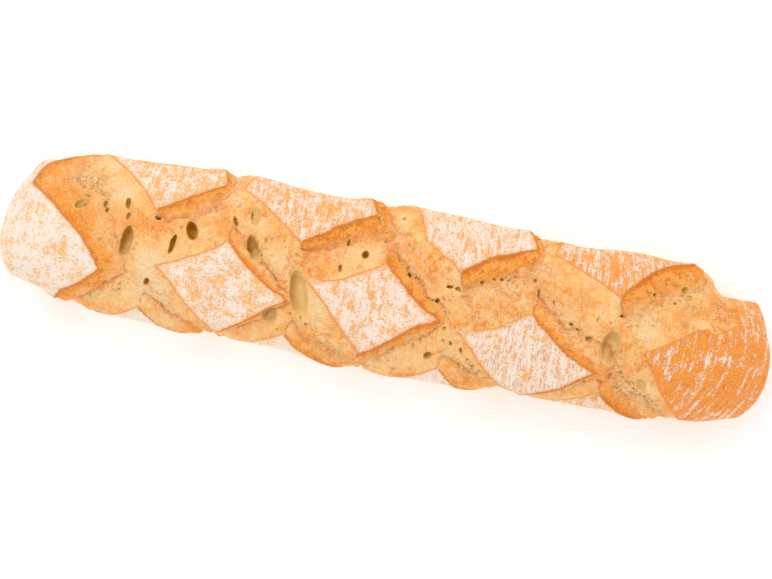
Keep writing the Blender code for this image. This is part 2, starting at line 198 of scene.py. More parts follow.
# Low steps where the skin of the crumb has torn: noise that is 0 along them, noise that says where they are,
# how wide a step is in the first noise, and how high
TEARS = ((7.5, 0.5, 51), (3.4, 0.34, 52), (1.6, 0.2, 54))
TORN_PARTS = (15.0, 53)
TORN_PARTS_RANGE = (-0.2, 0.3)
TEAR_WIDTH = 0.09
TEAR_STEP = 0.9
FLAP_ROUGHNESS = ((6.0, 0.45, 38), (3.0, 0.35, 39), (1.6, 0.2, 40))
TORN_ROUGHNESS = ((5.0, 0.6, 35), (2.4, 0.35, 36))
TORN_BAND = (0.68, 0.93, 1.15, 1.9)  # where across an opening the torn crumb begins, is full, and ends again
TORN_VARIES = (16.0, 44)  # wavelength and seed of how strongly it is torn along its way
TORN_MEAN = 0.55
TORN_SPREAD = 0.45
FLAP_END = (0.6, 1.0)  # where across an opening the flap under the lifted edge ends
OVERHANG = 1.5  # how far a lifted edge leans out over its opening
OVERHANG_PLACE = (-0.1, 0.45, 0.95)
OVERHANG_GAP = (4.0, 16.0)  # an opening narrower than this has less of it, or none
LEAN_FACING = (0.25, 0.6)  # how far to the right an edge must face to lean out

SMALL_CELL_WOBBLE = 0.6  # how far the smaller gas cells follow the fine wobble of the edges
# The smaller gas cells: x, y, half length along x, half length across, tilt in degrees, depth
SMALL_CELLS = [
    (-144.5, 20, 1.7, 3.6, 8, 2.8), (-143, 13, 1.5, 2.6, -10, 2.2), (-156.8, 18.6, 1.6, 2.6, 0, 2),
    (-155.6, 15.2, 1.2, 1.8, -20, 2.2), (-168, 20, 2.6, 2.4, 0, 1.5), (-167.2, 20.2, 0.9, 0.7, 0, 2.5),
    (-169, 13.6, 1.6, 2.4, -40, 2), (-181, 26, 0.9, 0.9, 0, 1.8), (-179, 24.6, 0.8, 0.7, 0, 1.5),
    (-157, -3.4, 0.9, 1.7, 10, 1.6), (-127.5, -20.6, 1.6, 2.6, 0, 3.4), (-141.5, -25, 1.1, 1, 0, 1.6),
    (-141.2, -27.6, 1.1, 0.9, 0, 1.6), (-127.4, 15.6, 2.1, 1, 0, 3), (-117.3, 2.6, 1.5, 5.6, -10, 4.6),
    (-126.2, 4.8, 0.7, 1.6, 0, 1.4), (-114.2, 12.6, 0.7, 1.5, 10, 1.5), (-118.6, 8.4, 1, 1.1, 0, 1.2),
    (-115.6, 23, 0.8, 0.8, 0, 1.2), (-107, 29, 0.7, 0.7, 0, 1), (-152.5, -24.6, 0.9, 0.8, 0, 1.4),
    (-153.6, -15.6, 0.6, 0.5, 0, 1), (-160.6, -30.8, 0.8, 0.8, 0, 1.2), (-125, -31.6, 1.2, 0.8, -20, 1.3),
    (-163, 34, 0.6, 0.6, 0, 1), (-176, 39.3, 1.1, 0.6, 0, 1), (-195.4, 22, 0.9, 1.7, 0, 1.4),
    (-166.6, 28.4, 1, 3, 14, 1), (-78, 26.4, 1, 1.8, 0, 3), (-86.6, 21.6, 1.2, 2.5, 32, 3.2),
    (-98.4, 28, 0.9, 1.4, 10, 1.6), (-86.4, 29.2, 0.9, 0.7, 0, 1.6), (-90, 28.8, 0.7, 0.6, 0, 1.2),
    (-88.4, 26.4, 0.7, 0.6, 0, 1.2), (-73.5, -35.4, 1.5, 1.3, 20, 2.4), (-76.6, -34.4, 1.6, 1, 20, 1.6),
    (-71, -28, 0.6, 0.7, 0, 1), (-63, -36, 0.8, 0.6, 0, 1), (-54.5, -32.5, 0.6, 0.8, 0, 1),
    (-68.4, 13.8, 0.9, 1.6, 20, 1.8), (-65.4, 15, 0.9, 0.7, 0, 1.4), (-59, 15, 0.8, 0.7, 0, 1.3),
    (-62, 16.4, 0.9, 0.7, 0, 1.3), (-50.6, 9.4, 1, 0.8, 0, 1.6), (-52.4, -2, 1.2, 1.6, 0, 1.4),
    (-59, -7, 0.8, 0.7, 0, 1), (-65, -1.6, 0.7, 1.1, 20, 1), (-46.8, -15, 0.7, 0.9, 0, 1.4),
    (-48.6, -24, 1, 1.2, 0, 1.6), (-43, -25, 0.9, 1.4, 20, 1.8), (-39.4, -28, 1.4, 1.3, 0, 1.8),
    (-24.8, 21.6, 1.2, 2.2, -10, 2.4), (-33.2, 19, 1.5, 1, 0, 1.6), (-28, 24, 0.7, 0.6, 0, 1),
    (-15, 16, 1.8, 2.3, -24, 4), (-27, 6, 1.1, 2, 0, 2.6), (-16.6, 8.2, 2, 2.2, -20, 1.2),
    (-5.6, 25.6, 1.2, 0.9, 0, 2), (-10, 22, 0.6, 0.6, 0, 1), (-10.8, 35.6, 1.1, 3, 24, 2.2),
    (-30.2, -38.6, 0.9, 0.9, 0, 2), (-32.6, -36.6, 0.6, 1, 20, 1.2), (-27.6, -41.6, 1.3, 1, 0, 1.4),
    (-14.6, -42.2, 0.9, 0.8, 0, 1.6), (-18.6, -36.6, 0.6, 0.5, 0, 0.8), (-24.6, -27, 0.8, 1.1, 0, 1),
    (3, 16.4, 1, 1.3, 20, 2.2), (5.5, 13.6, 0.7, 0.9, 0, 1.6), (8, 12.6, 0.9, 1.1, 20, 1.8),
    (10.4, 9.4, 1.2, 1.7, 30, 3), (13.8, 8.4, 0.8, 1.4, 0, 2), (16.5, 6.4, 0.8, 0.9, 0, 1.4),
    (18.4, 5, 0.6, 0.8, 0, 1.2), (27.3, -1.8, 1.4, 1.4, 0, 2.8), (24.2, 20.2, 0.9, 0.7, 0, 1.4),
    (20, 22.4, 0.6, 0.5, 0, 1), (-5, 38.4, 0.8, 1.2, 0, 1.4), (2.4, 40, 1.1, 1.7, 20, 1.8),
    (7, 26, 0.7, 1.4, 10, 1.6), (6.2, 31, 0.8, 1.3, 0, 1.4), (1.6, 32, 1, 1.6, 20, 1.4),
    (11, 23.4, 2.4, 1.6, 20, 1.4), (32.6, 7.2, 2, 1, 0, 3), (37, 6.8, 1.9, 1.2, 0, 2.2),
    (49, 14, 1.4, 1.1, 20, 2.8), (55, 16.8, 1.4, 1, 20, 2.2), (59.6, 17.4, 1.2, 1, 0, 2.4),
    (42.4, 9.6, 1.2, 0.9, 0, 1.6), (66.4, 20.4, 1, 1.1, 0, 1.6), (77, 19.6, 1.3, 1.5, 0, 2),
    (70.5, 31.2, 0.7, 0.9, 0, 1.4), (78.5, 26.7, 0.6, 0.6, 0, 1.2), (80.2, 25, 0.5, 0.5, 0, 1),
    (80, 12.6, 1.1, 3.4, 8, 2.6), (22.3, -25.2, 0.7, 1.4, -10, 1.6), (18.6, -29, 1, 2, -20, 1.4),
    (27.6, -32, 2.3, 3.2, -20, 3), (4, -31.6, 1, 2.2, -20, 1.2), (3, -37, 2, 2.6, 0, 1),
    (-2.6, -34.6, 1, 1.4, 0, 1.8), (33.6, -15.6, 1.2, 1.6, -30, 1.8), (36.4, -12.6, 0.7, 1.2, -20, 1.2),
    (38.3, -23.4, 1, 1.4, 20, 2.2), (34, -22.4, 1, 1.1, 0, 1.4), (44.4, -26, 0.9, 2.2, 14, 2.4),
    (52.3, -33, 1.3, 0.9, 20, 2.8), (56.2, -34.6, 1.2, 0.8, -20, 2), (60.2, -37.4, 1.5, 0.8, -20, 1.8),
    (64.6, -39.6, 1.3, 0.7, 0, 2), (38, -34, 0.6, 1.3, 20, 1.2), (51.6, -38.8, 0.9, 0.6, 0, 1),
    (49, -30, 1.2, 0.9, 20, 1.4), (58.8, -9, 0.5, 0.5, 0, 1), (54.2, -10.7, 0.5, 0.5, 0, 0.8),
    (72, -1, 0.6, 0.8, 0, 1), (89.8, -1, 0.5, 0.7, 0, 1), (89, 9.6, 1, 1.4, 30, 1.8),
    (100.2, -1, 1.5, 0.9, -30, 2.6), (104, -3.2, 1.4, 0.8, -30, 1.8), (111, -7.6, 2.3, 1.6, -20, 2),
    (113.5, 4.4, 0.6, 1.7, -10, 1.4), (103.4, 10.2, 0.5, 1, 0, 0.9), (125.8, 9, 1.2, 0.9, 0, 2.8),
    (122.4, -0.8, 1.1, 0.9, 0, 1.6), (120.6, 3.6, 0.8, 0.9, 0, 1.2), (128.2, 5.2, 0.9, 0.6, 0, 1.2),
    (134.6, 11.4, 0.7, 0.6, 0, 1.2), (131.8, 11.2, 0.7, 0.5, 0, 1), (140.4, 24, 1.1, 1.6, -20, 2.4),
    (140.4, 20.6, 0.9, 0.9, 0, 1.6), (144.2, 24.4, 0.7, 0.6, 0, 1.2), (147.2, 24.6, 0.8, 0.7, 0, 1.2),
    (150, 24.8, 0.8, 0.7, 0, 1.2), (146, 18.6, 0.9, 0.7, 0, 1.5), (152.8, 21.4, 0.9, 0.9, 0, 2.2),
    (141.2, 16.2, 0.7, 0.6, 0, 1.2), (156.5, 31.4, 2, 2.8, -10, 2), (157, 37.4, 1.7, 1.7, 0, 1.5),
    (169, 33.2, 1.5, 1.2, 0, 1.8), (160.2, 27, 0.8, 0.8, 0, 2.2), (141, 30.3, 0.8, 0.7, 0, 1.2),
    (147.4, 31.4, 0.8, 0.8, 0, 1.2), (163, 31, 1, 0.7, 0, 1.3), (95.6, 28, 0.7, 0.8, 0, 1),
    (161.6, 13.4, 0.9, 0.5, 0, 0.9), (173, 9.2, 0.7, 0.5, 0, 0.9), (176.4, 25, 0.8, 1.8, 24, 1.4),
    (152.8, -4, 0.9, 0.5, 0, 0.9), (131, -22.6, 0.9, 1.3, 24, 1.8), (132.4, -24.6, 0.8, 0.9, 0, 1.6),
    (134.8, -26.4, 0.6, 1.3, 20, 1.6), (125.2, -26.2, 1, 0.9, 0, 1.8), (121.8, -24.8, 0.7, 0.8, 0, 1.2),
    (111.6, -29.2, 0.8, 0.8, 0, 1.4), (102.4, -35, 1, 0.9, 0, 1.8), (130.4, -31.4, 0.9, 0.8, 0, 1.2),
    (138.6, -26, 0.8, 0.8, 0, 1.6), (139.2, -29.4, 0.8, 0.9, 0, 1.6), (145.6, -32.4, 1, 0.9, 0, 1.6),
    (150, -36.6, 1.3, 0.8, 0, 1.4),
]

# The sponge of the torn crumb: cells side by side on a jittered lattice, over x and girth
SPONGE_LAYERS = ((2.6, 1.5, 71), (1.5, 0.7, 75))  # pitch, depth and seed
SPONGE_WALL = (0.06, 0.44)  # how the bowl of a cell rises to its wall, as shares of the pitch
SPONGE_WARP = ((2.6, 0.8, 45), (1.3, 0.35, 46))

# How deep each large cell is coloured, in the order of GAS_CELLS: painted shade over the crumb's own olive
# brown. A small cell's colour goes by its depth, with more painted shade in a deeper cell
LARGE_CELL_SHADES = (0.95, 1.4, 0.85, 0.48, 0.66, 0.7, 0.58, 0.4, 0.75)
LARGE_CELL_DEPTH = 1.1  # deeper than in the part
SMALL_CELL_SHADE = 0.46  # for each millimetre of depth
CELL_SHADE_WALL = (0.88, 1.0)
# Painted shade: a cell's colour deepens towards its left and far walls, which face away from the lamp
CELL_SHADED_SIDE = (-0.42, 0.22)  # how the colour deepens towards the left and the far side of a cell
CELL_SHADE_MIDDLE = 0.66

# Where the crumb in the openings is toasted more (over 0) or paler:
# x, y, half length along x, half length across, how much
TOASTED = [
    (-172, 6, 12, 10, 0.5), (-184, 18, 9, 8, 0.5), (-152, 12, 6, 8, 0.6),
    (-147, 22, 5, 9, -0.7), (-140, -14, 8, 7, 0.3), (-130, -8, 7, 9, -0.8),
    (-125, 9, 10, 5, 0.7), (-118, -26, 10, 6, -0.7), (-98, 10, 7, 6, -0.5),
    (-93, 20, 4, 7, 0.5), (-87, 32, 4, 8, -0.8), (-72, 22, 5, 8, -0.4),
    (-60, 5, 8, 6, -0.4), (-45, 3, 6, 4, 0.8), (-48, -24, 5, 8, 0.5),
    (-36, -20, 8, 9, -0.7), (-20, -34, 12, 6, -0.8), (-22, 12, 8, 5, -0.2),
    (-8, 32, 12, 10, 1), (3, 40, 4, 6, -0.6), (4, 23, 8, 3.5, 1),
    (14, -30, 12, 6, -0.5), (24, 12, 8, 7, 0.6), (34, -22, 5, 8, -0.4),
    (60, 6, 12, 5, 0.1), (80, 10, 6, 9, 0.7), (84, 41, 8, 4, 0.9),
    (98, 14, 12, 8, 0.2), (122, -22, 10, 5, 0.5), (104, -32, 9, 4, -0.5),
    (138, 2, 9, 7, -0.5), (163, 18, 12, 8, 0.8), (180, 20, 9, 9, 1.3),
    (150, -30, 10, 6, -0.7), (-160, -33, 8, 6, -0.3),
]
TOASTED_MIDDLE = 0.5

# How each plate looks, from 0 to 1: its flour, how far the flour runs in streaks, how deep the crust under it
# is baked, and how brown the flap is that is torn open under its lifted edges
LOOKS = [
    (0.5, 0.25, 0.3, 0.4),
    (0.54, 0.4, 0.46, 0.8),
    (0.64, 0.85, 0.44, 0.5),
    (0.42, 0.4, 0.46, 0.7),
    (0.47, 0.7, 0.55, 1.0),
    (0.57, 0.65, 0.55, 1.0),
    (0.41, 0.85, 0.7, 0.95),
    (0.68, 0.3, 0.28, 0.1),
    (0.68, 0.35, 0.3, 0.4),
    (0.64, 0.4, 0.36, 0.0),
    # The fourth plate along the near side is baked deeper and has less flour, partly as painted shade on the
    # near side towards the right end
    (0.49, 0.6, 0.54, 0.8),
    (0.6, 0.3, 0.18, 0.5),
    (0.26, 0.8, 0.84, 0.3),
]
LOOK_NAMES = ("flour", "streak", "tone", "flap")
SIDE_LOOK = (0.5, 0.5, 0.5, 0.6)
SIDE_LOOK_REACH = (-150.0, 120.0)  # between these x the whole crust has the side look
LOOK_BLEND = 4.0
LOOK_REACH = 60.0  # a plate farther away counts as this far
STREAK_ARC = 0.01  # bends the streaks of flour round the ends, for each square millimetre
STREAK_ARC_START = (100.0, 180.0)

# Grains of noise in the colours: wavelength in millimetres, detail, roughness and shift
GRAINS = {
    "speck": (0.65, 1.0, 0.5, 11.0),
    "fine": (1.25, 2.0, 0.65, 0.0),
    "blotch": (3.6, 3.0, 0.6, 3.0),
    "patch": (9.0, 2.0, 0.5, 7.0),
    "broad": (38.0, 1.0, 0.5, 17.0),
}
WRINKLES = (1.8, 3.0, 0.6, 5.0)
WRINKLE_STRETCH = (1.0, 8.0, 8.0)

# The plates: pairs of colours for the palest and the deepest crust, and of where something starts and is full
BAKED = (srgb(252, 203, 137), srgb(252, 147, 26))
BAKED_MORE = (srgb(247, 174, 88), srgb(236, 124, 18))
BAKED_MORE_NOISE = {"blotch": 0.6, "fine": 0.4}
BAKED_MORE_START = (0.46, 0.6)
FLOUR = (srgb(254, 241, 227), srgb(253, 230, 210))
HAZE_NOISE = {"patch": 0.32, "blotch": 0.43, "fine": 0.25, "drawn_out": 0.6}
HAZE_MIDDLE = 0.68
HAZE_FLOURED = 0.36  # how much lower the middle is on a plate full of flour
HAZE_SPREAD = 0.15
FLOUR_NOISE = {"fine": 0.34, "speck": 0.66, "haze": 0.34, "drawn_out": 0.3}
FLOUR_START = (0.6, 0.71)
FLOUR_COVER = {"flour_grains": 0.86, "haze": 0.1}
CRACK_MIDDLE = 0.53  # the cracks run where the wrinkles have this value
CRACK_WIDTH = (0.034, 0.008)
CRACK_STREAKS = (0.3, 0.9)
CRACK_PATCHES = (0.42, 0.54)
CRACK_COVER = 0.85
CRACK_COLOUR = srgb(228, 148, 74)
MARGIN_WANDER = 5.0  # the margin has less flour
MARGIN_START = (-2.6, -0.6)
MARGIN_COVER = 0.5
RIM_WANDER = 2.2
# The rims along the lifted and the thin edges: how near to the opening, how near to that edge, cover, colour
RIMS = [
    ("lifted", (-1.2, -0.5), (2.6, 1.4), 0.85, srgb(218, 116, 32)),
    ("thin", (-1.0, -0.4), (2.4, 1.2), 0.8, srgb(240, 148, 62)),
]

# The openings. Each layer of colour over the last has the value that it follows, where that starts it,
# where that makes it full, how far it covers, and its colour
TOAST_NOISE = {"blotch": 0.3, "broad": 0.1, "raised": 0.24, "fine": 0.36, "toast": 0.3}
CRUMB = srgb(250, 214, 160)
CRUMB_LAYERS = [
    ("toasting", 0.53, 0.6, 1.0, srgb(255, 198, 122)),
    ("toasting", 0.63, 0.7, 0.9, srgb(252, 158, 58)),
    ("toasting", 0.74, 0.82, 0.8, srgb(222, 122, 38)),
    ("fine", 0.53, 0.6, 0.55, srgb(255, 226, 180)),
    ("speck", 0.44, 0.36, 0.55, srgb(242, 152, 62)),
]
FLAP = srgb(253, 170, 76)
FLAP_LAYERS = [
    ("patch", 0.42, 0.58, 1.0, srgb(248, 144, 38)),
    ("blotch", 0.5, 0.6, 0.8, srgb(222, 118, 24)),
    ("fine", 0.53, 0.62, 0.5, srgb(254, 194, 118)),
    ("speck", 0.44, 0.36, 0.4, srgb(218, 116, 28)),
]
FLAP_TOP = (0.25, 0.02)
FLAP_TOP_COVER = 0.6
FLAP_TOP_COLOUR = srgb(212, 112, 26)
FLAP_END_NOISE = {"place": 1.0, "patch": 1.4, "blotch": 1.2, "flap": -0.75}
FLAP_COLOUR_END = (1.5, 1.05)
# The torn steps, paler below and browner above: where each side rises and falls, its cover and two colours
TEAR_NOISE = {"tear": 1.0, "fine": 0.9, "speck": 0.5}
TEAR_NOISE_MIDDLE = 0.7
TEAR_SIDES = [
    ((-0.34, -0.08), (0.02, -0.04), 0.45, (srgb(255, 224, 176), srgb(255, 224, 176))),
    ((-0.02, 0.06), (0.4, 0.1), 0.6, (srgb(250, 162, 72), srgb(226, 124, 40))),
]
TEAR_BLOTCHES = (0.44, 0.56)
TORN_GRAINS = (0.44, 0.56)
TORN_COVER = 0.7
TORN_COLOURS = (srgb(255, 226, 180), srgb(249, 196, 122))
OPENING_LAYERS = [
    # painted shade in the pits of the torn sponge
    ("pit_shade", 0.35, 0.95, 0.75, srgb(222, 170, 94)),
    ("speck", 0.735, 0.76, 1.0, srgb(255, 246, 232)),
]
# Painted shade in the gas cells, over the crumb's own olive brown: deeper where a cell is deep and towards
# its left and far walls
CELL_COLOUR_AND_SHADE_LAYERS = [
    ("cell_colour_and_shade", 0.06, 0.2, 1.0, srgb(246, 206, 136)),
    ("cell_colour_and_shade", 0.3, 0.9, 1.0, srgb(194, 134, 26)),
]
SEAM = (-0.1, 0.3)  # where past the edge of a plate its colours end
BUMP_NOISE = {"speck": 0.35, "fine": 0.8, "blotch": 0.7, "cracks": 1.0}
BUMP_HEIGHT = 1.1

# The fine mesh and what it is thinned to
RINGS = 860
AROUND = 300
TOP_CROWDING = 0.5  # 0 spaces the points evenly round the girth, more draws them to the top
SPACING_STEPS = 4001
TRIANGLES = 190000

# The camera looks straight down, as in the photo, and the loaf lies turned in the frame
FRAME_WIDTH_PX = 772
FRAME_HEIGHT_PX = 579
PIXEL = 0.539  # millimetres for each pixel of the photo, at the loaf's widest line
LOAF_CENTRE_PX = (387.1, 288.2)
LOAF_TURN = 10.5  # degrees
CAMERA_LENS = 250.0
SENSOR_WIDTH = 36.0
SEEN_HEIGHT = 30.0  # about the height of that line

# The floor and the light, with their sizes and places in metres
FLOOR_GLOW = 0.14
FLOOR_REACH = 3.0
FLOOR_HEIGHT = -0.0001
FILL_STRENGTH = 0.955
LAMP_PLACE = (-0.35, 0.9, 1.4)
LAMP_SIZE = 0.9
LAMP_POWER = 5.1


def smooth_step(value, low, high):
    """0 below low, 1 above high, and an even rise between them."""
    share = np.clip((value - low) / (high - low), 0.0, 1.0)
    return share * share * (3.0 - 2.0 * share)


def scrambled(cells, seed):
    """A random whole number from 0 to 65535 for each place of a lattice."""
    mixed = seed * SEED_FACTOR
    for column, factor in zip(cells.T, LATTICE_FACTORS):
        mixed = mixed ^ column * factor
    mixed = (mixed ^ (mixed >> 13)) * MIXING_FACTOR & 0x7FFFFFFF
    return (mixed ^ (mixed >> 16)) & 0xFFFF


def noise(points, wavelength, seed):
    """Smooth noise from -1 to 1: one value for each corner of a cubic lattice, blended inside each cube."""
    scaled = points / wavelength
    cell = np.floor(scaled).astype(np.int64)
    inside = scaled - cell
    inside = inside * inside * (3.0 - 2.0 * inside)
    total = np.zeros(len(points))
    for corner in itertools.product((0, 1), repeat=3):
        value = scrambled(cell + np.array(corner), seed) / 0x7FFF - 1.0
        weight = np.prod(np.where(np.array(corner) == 1, inside, 1.0 - inside), axis=1)
        total += weight * value
    return total


def layers(points, rows):
    """The sum of several layers of noise, each with its wavelength, size and seed."""
    return sum(size * noise(points, wavelength, seed) for wavelength, size, seed in rows)


def station_curve(x, column):
    """A column of the stations, read along x with a smooth curve through them."""
    known = STATIONS[:, 0]
    values = STATIONS[:, column]
    slopes = np.gradient(values, known)
    at = np.clip(np.searchsorted(known, x) - 1, 0, len(known) - 2)
    width = known[at + 1] - known[at]
    share = np.clip((x - known[at]) / width, 0.0, 1.0)
    back = 1.0 - share
    rise = (3.0 - 2.0 * share) * share * share
    ends = values[at] * (1.0 - rise) + values[at + 1] * rise
    return ends + width * share * back * (slopes[at] * back - slopes[at + 1] * share)


def end_share(x, reach=BLUNT_END):
    """The size of a section as a share of the whole: 1 along the loaf, falling to 0 over the ends."""
    past = np.clip((np.abs(x) - (HALF_LENGTH - reach)) / reach, 0.0, 1.0)
    return np.sqrt(np.maximum(1.0 - past * past, 0.0))


def outline(x):
    """Half the width and the middle of the loaf at x, seen from above, without the rounding of the ends."""
    near = station_curve(x, NEAR)
    far = station_curve(x, FAR)
    return (far - near) / 2.0, (far + near) / 2.0


def body_point(x, angle):
    """The point of the plain body at x and at this angle from the top line."""
    half_width, middle = outline(x)
    share = end_share(x)
    sine, cosine = np.sin(angle), np.cos(angle)
    crown = station_curve(x, CROWN) * end_share(x, CROWN_END)
    crown = crown * np.maximum(cosine, 0.0) ** (2.0 / CROWN_EXPONENT)
    under = EQUATOR_HEIGHT * BASE_OVERSHOOT * share * np.maximum(-cosine, 0.0) ** (2.0 / UNDER_EXPONENT)
    height = EQUATOR_HEIGHT + END_EQUATOR_LIFT * (1.0 - share) + crown - under
    rounded = np.sqrt(np.maximum(height, 0.0) ** 2 + BASE_ROUNDING**2) - BASE_ROUNDING
    rounded = rounded + BASE_ROUNDING * (1.0 - smooth_step(-cosine, 0.0, BASE_BLEND))
    height = np.where(cosine < 0.0, rounded, height)
    across = half_width * share * sine
    slant = LEFT_END_SLANT * smooth_step(-x, HALF_LENGTH - SLANT_REACH, HALF_LENGTH)
    return np.stack([x + slant * across, middle + across, height], axis=1)


def body_normal(x, angle):
    """The outward direction of the plain body, from two short steps along it."""
    step_x, step_angle = 0.5, 0.01
    inside = np.clip(x, -HALF_LENGTH + step_x, HALF_LENGTH - step_x)
    along = body_point(inside + step_x / 2, angle) - body_point(inside - step_x / 2, angle)
    round_it = body_point(inside, angle + step_angle) - body_point(inside, angle - step_angle)
    normal = np.cross(along, round_it)
    normal /= np.maximum(np.linalg.norm(normal, axis=1), 1e-9)[:, None]
    tip = smooth_step(np.abs(x), HALF_LENGTH - step_x, HALF_LENGTH)[:, None]
    normal = normal * (1.0 - tip) + np.stack([np.sign(x), 0.0 * x, 0.0 * x], axis=1) * tip
    return normal / np.linalg.norm(normal, axis=1)[:, None]


def girth_of(x, y):
    """The girth of a place given as it is seen from above. Past the outline it goes on down the side."""
    half_width, middle = outline(x)
    share = (y - middle) / half_width
    beyond = np.sign(share) * np.maximum(np.abs(share) - 1.0, 0.0) * half_width
    return GIRTH_RADIUS * np.arcsin(np.clip(share, -1.0, 1.0)) + beyond


def flat_place(x, y):
    """A place given as it is seen from above, over x and girth."""
    return np.array([x, girth_of(np.array([float(x)]), np.array([float(y)]))[0]])


def unrolled(corners, bow=0.0):
    """Corners seen from above as a closed line over x and girth, each edge bowed inwards."""
    corners = np.array(corners)
    flat = np.stack([corners[:, 0], girth_of(corners[:, 0], corners[:, 1])], axis=1)
    line = []
    for start, end in zip(flat, np.roll(flat, -1, axis=0)):
        inwards = np.array([start[1] - end[1], end[0] - start[0]])
        for share in np.arange(BOW_PIECES) / BOW_PIECES:
            line.append(start + (end - start) * share + inwards * bow * 4.0 * share * (1.0 - share))
    return np.array(line)


def side_plate(edge, spread):
    """The corners of a plate along one side, from its upper edge: the feet lie further down the side."""
    foot = math.copysign(FOOT, edge[0][1])
    corners = [*edge, (edge[-1][0] + spread, foot), (edge[0][0] - spread, foot)]
    return corners if foot > 0.0 else corners[::-1]


def all_plates():
    """Every plate of crust: its corners, how far its edges are bowed, where its crease runs, and its look."""
    far = [side_plate(edge, FAR_FOOT_SPREAD) for edge in FAR_EDGES]
    near = [side_plate(edge, NEAR_FOOT_SPREAD) for edge in NEAR_EDGES]
    return zip([*DIAMONDS, *far, *near, LEFT_END, RIGHT_END], BOWS, CREASES, LOOKS)


def distance_to(flat, line):
    """The distance from each place to a closed line, less than 0 inside it, and the direction away."""
    nearest = np.full(len(flat), FAR_AWAY)
    away = np.zeros((len(flat), 2))
    inside = np.zeros(len(flat), bool)
    for start, end in zip(line, np.roll(line, -1, axis=0)):
        edge = end - start
        offset = flat - start
        share = np.clip(offset @ edge / (edge @ edge), 0.0, 1.0)
        gap = offset - share[:, None] * edge
        distance = np.hypot(gap[:, 0], gap[:, 1])
        closer = distance < nearest
        nearest = np.where(closer, distance, nearest)
        away = np.where(closer[:, None], gap, away)
        spans = (start[1] > flat[:, 1]) != (end[1] > flat[:, 1])
        if edge[1]:
            inside ^= spans & (flat[:, 0] < start[0] + edge[0] * (flat[:, 1] - start[1]) / edge[1])
    away /= np.maximum(nearest, 1e-6)[:, None]
    return np.where(inside, -nearest, nearest), np.where(inside[:, None], -away, away)


def opening_height(nearest, lifted, thin, crease_place, turning):
    """The height over the plain body: the lips inside the plates, and the profile of the opening between."""
    gap = lifted + thin
    place = lifted / (gap * crease_place)
    past = (place - 1.0) * PROFILE_LAST * crease_place / (1.0 - crease_place)
    place = np.where(place > 1.0, 1.0 + past, place)
    lifted = np.maximum(lifted, -nearest)  # an edge that lies inside another plate has no lip
    thin = np.maximum(thin, -nearest)
    depth = OPENING_DEPTH * smooth_step(gap, 0.0, FULL_DEPTH_GAP)
    share = np.interp(place, PROFILE_PLACE, PROFILE_HEIGHT)
    opening = depth * (share + turning * (np.maximum(share, TURN_HEIGHT) - share))
    lip = LIP_LIFT * np.exp(-((lifted / LIP_REACH) ** 2))
    lip = lip + THIN_LIP_LIFT * np.exp(-((thin / LIP_REACH) ** 2))
    edge = smooth_step(nearest, 0.0, EDGE_REACH)
    return lip * (1.0 - edge) + (opening + OPENING_LIP_SHARE * lip) * edge


def gas_cells(flat, cells, shades):
    """Bowls with steep walls at the listed cells, and how deeply each is coloured: painted shade over the
    crumb's own olive brown, deeper towards the left and far walls.
    """
    height = np.zeros(len(flat))
    shade = np.zeros(len(flat))
    for (x, y, half_x, half_y, tilt, depth), darkest in zip(cells, shades):
        place = flat - flat_place(x, y)
        turn = math.radians(tilt)
        along = (place[:, 0] * math.cos(turn) + place[:, 1] * math.sin(turn)) / half_x
        across = (place[:, 1] * math.cos(turn) - place[:, 0] * math.sin(turn)) / half_y
        reach = np.hypot(along, across)
        height = np.minimum(height, -depth * (1.0 - smooth_step(reach, *CELL_WALL)))
        deepening = CELL_SHADED_SIDE[0] * along + CELL_SHADED_SIDE[1] * across
        deepening = np.clip(CELL_SHADE_MIDDLE + deepening, 0.0, 1.0)
        shade = np.maximum(shade, darkest * deepening * (1.0 - smooth_step(reach, *CELL_SHADE_WALL)))
    return height, shade


def sponge(flat, pitch, seed):
    """Bowls side by side on a jittered lattice: -1 in the middle of each, and 0 on the walls between them."""
    home = np.floor(flat / pitch).astype(np.int64)
    nearest = np.full(len(flat), FAR_AWAY)
    for step in itertools.product((-1, 0, 1), repeat=2):
        cell = home + np.array(step)
        jitter = np.stack([scrambled(cell, seed), scrambled(cell, seed + 1)], axis=1) / 0xFFFF
        offset = flat - (cell + jitter) * pitch
        nearest = np.minimum(nearest, np.hypot(offset[:, 0], offset[:, 1]))
    return smooth_step(nearest / pitch, *SPONGE_WALL) - 1.0


def torn_sponge(flat, points):
    """The height of the sponge where the crumb is torn most."""
    shifted = points + np.array(ACROSS_SHIFT)
    warped = flat + np.stack([layers(points, SPONGE_WARP), layers(shifted, SPONGE_WARP)], axis=1)
    return sum(depth * sponge(warped, pitch, seed) for pitch, depth, seed in SPONGE_LAYERS)


def whole_crust_look(x):
    """The look of the crust outside the scored zone, from one end of the loaf to the other."""
    known = (-HALF_LENGTH, *SIDE_LOOK_REACH, HALF_LENGTH)
    left_end, right_end = LOOKS[-2:]
    rows = (left_end, SIDE_LOOK, SIDE_LOOK, right_end)
    return np.stack([np.interp(x, known, column) for column in zip(*rows)], axis=1)


